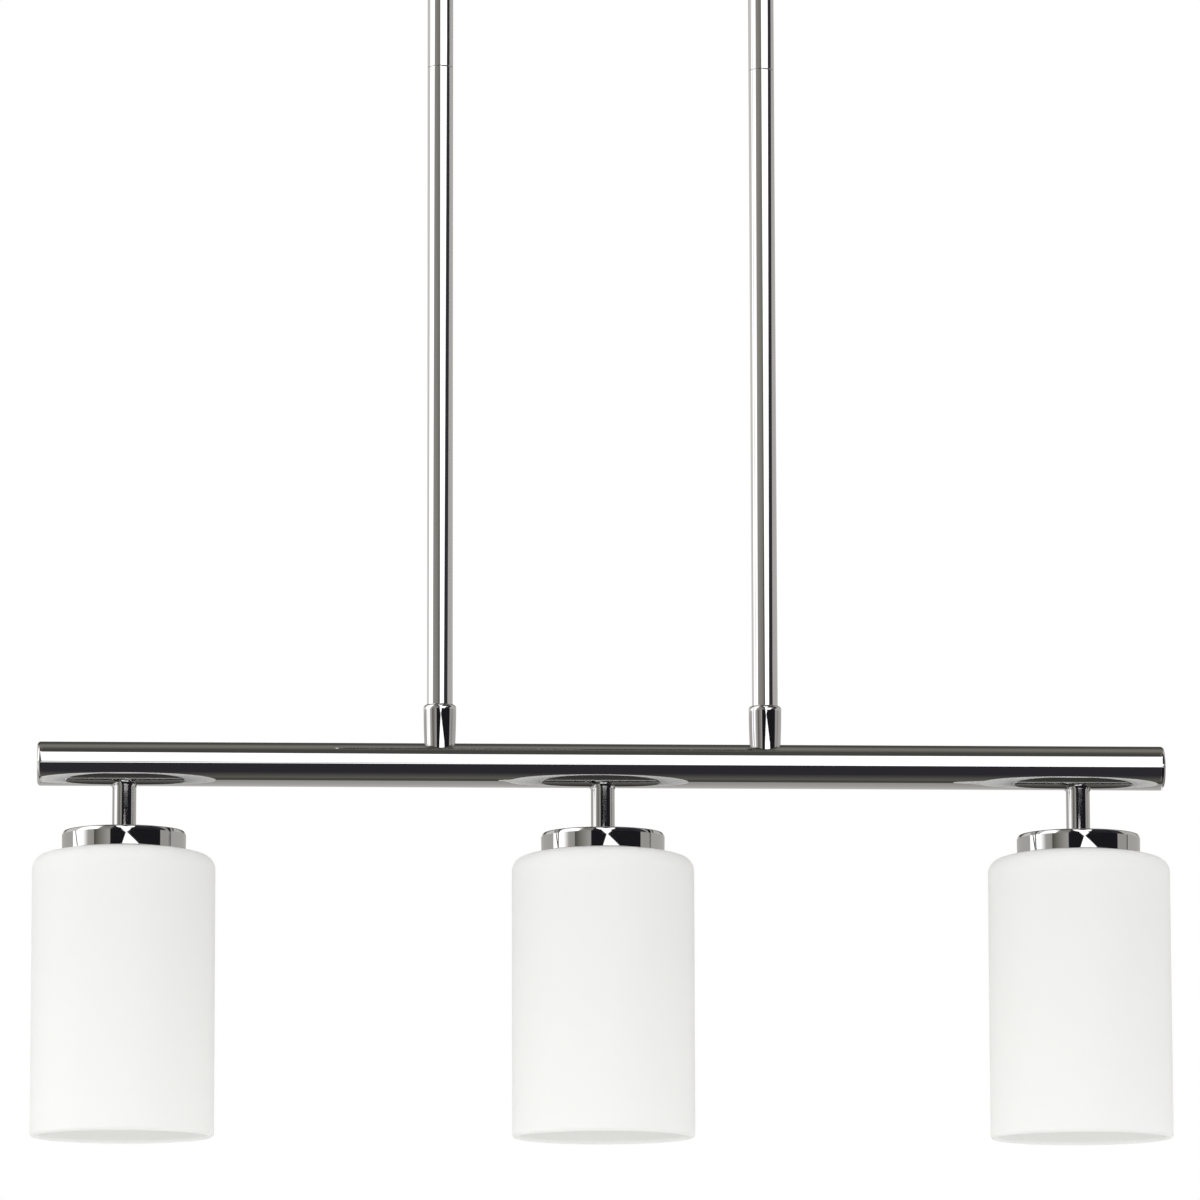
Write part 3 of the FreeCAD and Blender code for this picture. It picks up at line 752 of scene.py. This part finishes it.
def dress_shell(head):
    span = Span("screw_shell_" + head)
    outside, top, low = span.radius, span.high.z, span.low.z
    inside, ceiling = outside - shell_thickness, top - shell_thickness
    lip = inside - shell_lip_width
    shell = Outline(outside, low).line(outside, top).line(lip, top).line(lip, ceiling).line(inside, ceiling)
    shell = shell.wall(inside, low, step=thread_step).line(outside, low)

    def wound(angle, radius, height):
        """Winds the thread in the inside wall only."""
        if abs(radius - inside) > skin_depth:
            return radius, height
        turn = 2 * math.pi * height / thread_pitch - angle
        return radius + shell_wave - shell_wave * math.cos(turn), height

    turned_piece("shell_" + head, shell, span, brass, shift=wound)


def dress_ring(head):
    span = Span("shade_ring_" + head)
    outside, top, low = span.radius, span.high.z, span.low.z
    bore, skirt = ring_bore_radius, ring_skirt_radius
    edge, hollow, chamfer = ring_edge, ring_hollow, ring_chamfer
    flange = top - ring_flange_thickness

    def gripped(angle, radius, height):
        if abs(radius - skirt) < skin_depth and height < flange - ring_grip_drop:
            radius -= ring_grip_depth * groove(angle, ring_grips, 4)
        return radius, height

    ring = Outline(bore, top).line(outside - edge, top)
    ring = ring.round(outside, top - edge, outside - edge, top - edge, steps=4).on(outside, flange + edge)
    ring = ring.round(outside - edge, flange, outside - edge, flange + edge, steps=4)
    ring = ring.line(skirt + hollow, flange)
    ring = ring.round(skirt, flange - hollow, skirt + hollow, flange - hollow, steps=4)
    ring = ring.wall(skirt, low + chamfer, step=1.5).line(skirt - chamfer, low)
    ring = ring.line(bore, low).line(bore, top)
    turned_piece("clamp_ring_" + head, ring, span, enamel, shift=gripped, steps=ring_steps)


def dress_bulb(head):
    glass, base = Span("bulb_glass_" + head), Span("bulb_base_" + head)
    ball, low, seat, neck = glass.radius, glass.low.z, base.low.z, bulb_neck_radius
    middle = low + ball
    rise = seat - middle
    angle = math.atan2(rise, neck) - math.acos(ball / math.hypot(neck, rise))
    side_r, side_z = ball * math.cos(angle), middle + ball * math.sin(angle)
    bulb = Outline(0, low).round(ball, middle, 0, middle, steps=28).round(side_r, side_z, 0, middle, steps=14)
    # the flank eases into a nearly straight neck
    for number in range(1, bulb_flank_steps + 1):
        share = number / bulb_flank_steps
        ease = share * share * (3 - 2 * share)
        straight = side_r + (neck - side_r) * share
        bulb.on(straight - bulb_waist * math.sin(math.pi * share) * ease, side_z + (seat - side_z) * share)
    bulb = bulb.line(neck - bulb_neck_wall, seat).line(0, seat)
    turned_piece("bulb_envelope_" + head, bulb, glass, frosted, "bulb_" + head)

    outside, tip = base.radius, base.high.z
    shoulder = tip - base_shoulder_drop
    screw = Outline(0, tip).on(button_flat_radius, tip - button_flat_drop)
    screw = screw.round(
        button_radius, tip - button_side_drop, button_round_radius, tip - button_round_drop, steps=4,
    )
    screw = screw.line(button_radius, tip - button_foot_drop)
    screw = screw.line(outside - glass_bead_width, tip - glass_bead_drop)
    screw = screw.on(outside - base_edge, shoulder + base_edge).on(outside, shoulder)
    screw = screw.wall(outside, seat, step=thread_step).line(outside - base_rim, seat).line(0, seat)
    thread = thread_wave(outside, thread_pitch, thread_depth, seat + thread_run_in, shoulder)
    turned_piece("bulb_cap_" + head, screw, base, nickel, "bulb_" + head, shift=thread)


# ---------------------------------------------------------------- canopy and swivels
def rounded_rectangle(length, width, corner, steps=12):
    """Points round a rectangle with round corners, always the same number."""
    points = []
    for quarter, (right, back) in enumerate(((1, 1), (-1, 1), (-1, -1), (1, -1))):
        middle_x, middle_y = right * (length / 2 - corner), back * (width / 2 - corner)
        for number in range(steps + 1):
            angle = math.pi / 2 * (quarter + number / steps)
            points.append((middle_x + corner * math.cos(angle), middle_y + corner * math.sin(angle)))
    return points


def canopy_skin(inset, floor_z, radius):
    """Insets and heights from the open top down the side, round the edge and in to the floor."""
    levels = [(inset, ceiling_z), (inset, floor_z + radius + canopy_hold)]
    for number in range(1, canopy_edge_steps + 1):
        angle = math.pi / 2 * number / canopy_edge_steps
        along, down = radius * math.cos(angle), radius * math.sin(angle)
        levels.append((inset + radius - along, floor_z + radius - down))
    levels.append((inset + radius + canopy_floor_border, floor_z))
    return levels


def dress_canopy():
    span = Span("canopy")
    outside = canopy_skin(0, span.low.z, canopy_edge)
    inside = canopy_skin(canopy_wall, span.low.z + canopy_wall, canopy_edge - canopy_wall)
    shape = bmesh.new()
    rings = []
    for inset, height in outside[::-1] + inside:
        corner = max(canopy_corner - inset, canopy_least_corner)
        outline = rounded_rectangle(span.size.x - 2 * inset, span.size.y - 2 * inset, corner)
        rings.append([shape.verts.new((x, y, height)) for x, y in outline])
    count = len(rings[0])
    beside = [(place + 1) % count for place in range(count)]
    for last, here in zip(rings, rings[1:]):
        for place, after in enumerate(beside):
            shape.faces.new((last[place], last[after], here[after], here[place]))
    shape.faces.new(rings[0])
    shape.faces.new(rings[-1])
    # the two edges of the open rim stay sharp
    for ring in rings[len(outside) - 1:len(outside) + 1]:
        for place, after in enumerate(beside):
            shape.edges.get((ring[place], ring[after])).smooth = False
    mesh_piece("canopy_pan", shape, "ceiling_mount", chrome, "canopy")


def dress_swivel(side):
    ring = Span("swivel_ring_" + side)
    outside, top, low, bore = ring.radius, ring.high.z, ring.low.z, swivel_bore_radius
    edge, rim, land = swivel_edge, swivel_rim, top - swivel_land

    def notched(angle, radius, height):
        if radius > outside - groove_skin and height < land:
            radius -= swivel_notch_depth * groove(angle, swivel_notches)
        return radius, height

    nut = Outline(bore, top).line(outside, top).line(outside, land).line(outside, top - swivel_notch_top)
    nut = nut.on(outside, low + edge).round(outside - edge, low, outside - edge, low + edge, steps=8)
    nut = nut.on(bore + rim, low).line(bore, low + rim).line(bore, top)
    turned_piece(
        "ring_nut_" + side, nut, ring, chrome, "ceiling_mount", shift=notched, steps=swivel_steps,
    )

    ball = Span("swivel_ball_" + side)
    radius, low, flat, neck, way = ball.radius, ball.low.z, ball.high.z, ball_neck_radius, wire_way_radius
    centre = flat - ball_flat_height
    neck_z = centre - math.sqrt(radius**2 - neck**2)
    flat_r = math.sqrt(radius**2 - ball_flat_height**2)
    # the neck's last point stands twice, so that the arc after it adds no hold point to the neck
    knob = Outline(way, low).line(neck, low).line(neck, neck_z).line(neck, neck_z)
    knob = knob.round(radius, centre, 0, centre, steps=20).round(flat_r, flat, 0, centre, steps=16)
    turned_piece("ball_" + side, knob.line(way, flat).line(way, low), ball, chrome)


def dress_cap_nuts():
    span = Span("cap_nuts")
    outside, top, low = span.size.y / 2, span.high.z, span.low.z
    bore, edge, dome, spread = nut_bore_radius, nut_edge, outside - nut_waist, span.size.x / 2 - outside
    skirt, floor = top - nut_skirt, top - nut_bore_depth

    def knurled(angle, radius, height):
        if radius > outside - groove_skin and skirt < height < top:
            radius -= nut_knurl_depth * groove(angle, nut_knurls)
        return radius, height

    pair = bmesh.new()
    for side in SIDES.values():
        nut = Outline(bore, top).line(outside - edge, top).line(outside, top - edge)
        nut = nut.line(outside, top - nut_knurl_top).on(outside, skirt + nut_knurl_foot).line(outside, skirt)
        nut = nut.line(dome, skirt - nut_waist).line(dome, low + dome).round(0, low, 0, low + dome, steps=14)
        nut = nut.line(0, floor).line(bore, floor).line(bore, top)
        shape = moved(nut.turned(knurled, nut_steps), side * spread)
        one = bpy.data.meshes.new("nut")
        shape.to_mesh(one)
        shape.free()
        pair.from_mesh(one)
        bpy.data.meshes.remove(one)
    mesh_piece("dome_nuts", pair, "ceiling_mount", chrome, "cap_nuts")


# ---------------------------------------------------------------- nodes that keep their own mesh
def finish_kept_nodes():
    finishes = {
        "ceiling_strap": zinc, "canopy_studs": zinc, "stud_nuts": zinc, "ground_screw": brass,
        "rod_nipples": zinc, "bar_nipples": zinc, "bar_nuts": zinc, "saddle_washers": zinc,
        "head_nipples": zinc, "centre_contacts": brass, "shade_washers": silicone,
        "swivel_cup_left": zinc, "swivel_cup_right": zinc, "wire_splices": zinc,
        "canopy_leads": wire_cover, "lamp_leads": wire_cover, "supply_leads": wire_cover,
        "wire_connectors": connector_cap,
    }
    for node, material in finishes.items():
        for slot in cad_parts[node].material_slots:
            slot.material = material


# ---------------------------------------------------------------- studio
def ramp(field, start, end):
    """0 up to the start and 1 from the end on, straight in between."""
    return ((field - start) / (end - start)).clamped()


def edge_at(field, place, soft=1.0):
    """0 below a place and 1 above it, over a soft width."""
    return ((field - (place - soft / 2)) / soft).clamped()


def between(field, low, high, soft=1.0):
    return edge_at(field, low, soft) * (1 - edge_at(field, high, soft))


def laid(level, share, tone):
    """Lays a tone over what is there, where the share is 1."""
    return (1 - share) * level + share * tone


class Look:
    """Where a ray goes: its part along the bar, and its degrees round to the right, up, and over the bar."""

    def __init__(self, tree):
        way = tree.node("ShaderNodeTexCoord", out="Generated")
        self.x, y, z = (tree.node("ShaderNodeSeparateXYZ", None, {"Vector": way}, out=axis) for axis in "XYZ")
        degrees = 180 / math.pi
        self.round = tree.node("ShaderNodeMath", {"operation": "ARCTAN2"}, {0: self.x, 1: -y}) * degrees
        self.up = tree.node("ShaderNodeMath", {"operation": "ARCSINE"}, {0: z}) * degrees
        self.over = tree.node("ShaderNodeMath", {"operation": "ARCTAN2"}, {0: z, 1: -y}) * degrees
        # how far it looks aside of the bar's middle as the camera sees it mirrored, and of the wedge's lens
        self.aside = (self.x - mirrored_middle).size()
        self.away = ((self.round - lens_middle) / lens_reach).size()


def level_flags(look):
    """Beside the viewer, low down: a grey backdrop with a soft light, and grey and black flags."""
    light = soft_light - ramp(look.round, -84, -70) * 1.4 - ramp(look.round, -70, -58) * 0.07
    tone = laid(backdrop_tone, between(look.round, -109, -57, 3), light)
    tone = laid(tone, between(look.round, -57, -25), left_flag_tone + ramp(look.round, -55, -29) * 0.34)
    black = black_flag_tone + edge_at(-look.up, -1, 6) * (1 - edge_at(look.aside, 0.1, 0.04)) * 0.022
    tone = laid(tone, between(look.round, -25, 72), black + edge_at(-look.up, 65, 40) * 0.14)
    tone = laid(tone, between(look.round, 72, 97.5), right_flag_tone)
    # two dark lines, one of them leaning
    lean = look.round + (look.up - 6.8) * 2.0
    lines = between(lean, -102.5, -100) + between(look.round, 96, 98.5)
    tone = laid(tone, lines * between(look.up, -6, 7.3, 0.3), dark_line_tone)
    # a white wedge that stands on the lower edge of cups and collars, and the lens above its tip
    wedge = between(look.up, 0.6, 6.0, 0.1) * edge_at(look.round - (look.up - 5.9) * 2.4, 4.0)
    tone = laid(tone, wedge * (1 - edge_at(look.round + (look.up - 5.9) * 8, 6.0)), soft_light)
    lens = edge_at(look.up - look.away * 3, 5.85, 0.1) * between(look.up, 5.0, 6.85, 0.1)
    return laid(tone, lens, soft_light)


def floor_and_rear(look, tone):
    """Below the viewer: a dark strip under the bar and the pale floor behind it; then what lies behind."""
    below = edge_at(-look.up, 12, 4)
    tone = laid(tone, below * between(look.over, -97, -80, 1.5), under_bar_tone)
    tone = laid(tone, below * edge_at(-look.over, 97, 1.5), floor_tone + ramp(-look.over, 98, 166) * 0.22)
    # behind and below eye level, which only the other views see: soft shades and one pale panel
    rear = edge_at(look.round.size(), 112, 6) * edge_at(-look.up, 3, 3) * edge_at(look.aside, 0.12, 0.04)
    return laid(tone, rear, rear_tone - look.x * 0.34 + between(look.round, 146, 168, 7) * 0.9)


def high_flags(look):
    """Beside the viewer, higher up: the flags drift round with height, with a bright gap between them."""
    climb = ramp(look.up, 8, 13.2)
    left, right = look.round - climb * 14, look.round - climb * 26
    tone = laid(high_left_tone, edge_at(look.round, 0, 10), high_right_tone)
    tone = laid(tone, between(left, -119, -68, 5), soft_light)
    tone = laid(tone, between(left, -68, -1, 3), grey_flag_tone - ramp(look.round, -68, -1) * 0.2)
    tone = laid(tone, between(look.round, -12, -1, 2) * (1 - edge_at(climb, 0.4, 0.6)), narrow_flag_tone)
    tone = laid(tone, between(right, 34, 70, 3), drifting_flag_tone)
    return laid(tone, edge_at(look.round, -2, 2) * (1 - edge_at(right, 34, 3)), soft_light)


def overhead(look, tone):
    """Over the viewer: the large soft light with its bowed lower edge, and a grey ceiling behind it."""
    tone = laid(tone, edge_at(look.up, 15.5) * between(look.round, -25, 72, 3), behind_flags_tone)
    bowed = look.up - edge_at(look.away, 0.3, 0.1) * 24 - look.away * look.away * 24
    tone = laid(tone, edge_at(bowed, 14) * between(look.round, -40, 62, 4), soft_light)
    ceiling = edge_at(look.over + edge_at(look.aside, 0.08, 0.12) * -8, 54, 1.5)
    ceiling = ceiling * edge_at(look.up, 14, 6) * (1 - edge_at(look.x.size(), 0.5, 0.2))
    return laid(tone, ceiling, ceiling_tone + between(look.over, 86, 116, 20) * 0.17)


def light_studio():
    """A white room for the eye; in metal it has grey and black flags, as a product studio has."""
    world = bpy.data.worlds.new("studio")
    bpy.context.scene.world = world
    tree = Tree(world)
    look = Look(tree)
    level = laid(floor_and_rear(look, level_flags(look)), edge_at(look.up, 7.3, 0.1), high_flags(look))
    level = overhead(look, level)
    tint = tree.node("ShaderNodeValToRGB", {"stops": chrome_tints}, {"Fac": level / 2})
    white = opaque((1.0, 1.0, 1.0))
    studio = tree.node("ShaderNodeBackground", None, {"Color": tint, "Strength": level})
    backdrop = tree.node("ShaderNodeBackground", None, {"Color": white, "Strength": 1.0})
    room = tree.node("ShaderNodeBackground", None, {"Color": white, "Strength": room_strength})
    eye = tree.node("ShaderNodeLightPath", out="Is Camera Ray")
    metal = tree.node("ShaderNodeLightPath", out="Is Glossy Ray")
    glass = tree.node("ShaderNodeLightPath", out="Is Transmission Ray")
    lit = tree.node("ShaderNodeMixShader", None, {0: metal, 1: room, 2: studio})
    seen = tree.node("ShaderNodeMixShader", None, {0: eye.larger(glass), 1: lit, 2: backdrop})
    tree.finish(seen, "ShaderNodeOutputWorld")


def soft_lamp(name, place, aim, watts):
    """A square area lamp that lights the pendant and isn't seen itself."""
    lamp = bpy.data.lights.new(name, "AREA")
    lamp.shape, lamp.size, lamp.size_y, lamp.energy = "RECTANGLE", lamp_width, lamp_width, watts
    holder = bpy.data.objects.new(name, lamp)
    bpy.context.scene.collection.objects.link(holder)
    holder.location = place
    holder.rotation_euler = (Vector(aim) - Vector(place)).to_track_quat("-Z", "Y").to_euler()
    holder.visible_glossy = False
    holder.visible_camera = False


def lay_floor():
    """A pale floor far below, nearly as white as the room."""
    shape = bmesh.new()
    bmesh.ops.create_grid(shape, x_segments=4, y_segments=4, size=floor_size)
    mesh = bpy.data.meshes.new("floor")
    shape.to_mesh(mesh)
    shape.free()
    mesh.materials.append(pale_floor)
    floor = bpy.data.objects.new("floor", mesh)
    floor.location = (0, 0, floor_z)
    floor.visible_glossy = False
    bpy.context.scene.collection.objects.link(floor)


def set_camera():
    """The photograph's view: from below, a little to the left, and looking up."""
    camera = bpy.data.cameras.new("camera")
    camera.sensor_width = 36.0
    camera.lens = camera.sensor_width * focal_pixels / frame_pixels
    camera.clip_end = 200
    holder = bpy.data.objects.new("camera", camera)
    bpy.context.scene.collection.objects.link(holder)
    holder.location = (camera_x, camera_y, bar_z * MM - camera_below_bar)
    across, ahead, up = math.sin(camera_yaw), math.cos(camera_yaw), math.sin(camera_pitch)
    level = math.cos(camera_pitch)
    view = Vector((across * level, ahead * level, up)).to_track_quat("-Z", "Y")
    holder.rotation_euler = (view @ Quaternion((0, 0, 1), camera_roll)).to_euler()
    bpy.context.scene.camera = holder


# ---------------------------------------------------------------- the whole pendant
def dress_pendant():
    dress_bar()
    for side in SIDES:
        dress_rod("upper_rod_" + side, "rod_upper_" + side)
        dress_rod("lower_rod_" + side, "rod_lower_" + side)
        dress_collar(side)
        dress_swivel(side)
    for head in HEADS:
        for dress in (dress_stem, dress_cup, dress_shade, dress_holder, dress_shell, dress_ring, dress_bulb):
            dress(head)
    dress_canopy()
    dress_cap_nuts()
    finish_kept_nodes()


dress_pendant()
light_studio()
soft_lamp("key_left", place=(-3.2, -1.6, 0.4), aim=(0, 0, -0.75), watts=19)
soft_lamp("fill_front", place=(0.4, -2.9, -1.9), aim=(0, 0, -0.85), watts=6.5)
lay_floor()
set_camera()
bpy.context.scene.view_settings.view_transform = "Standard"
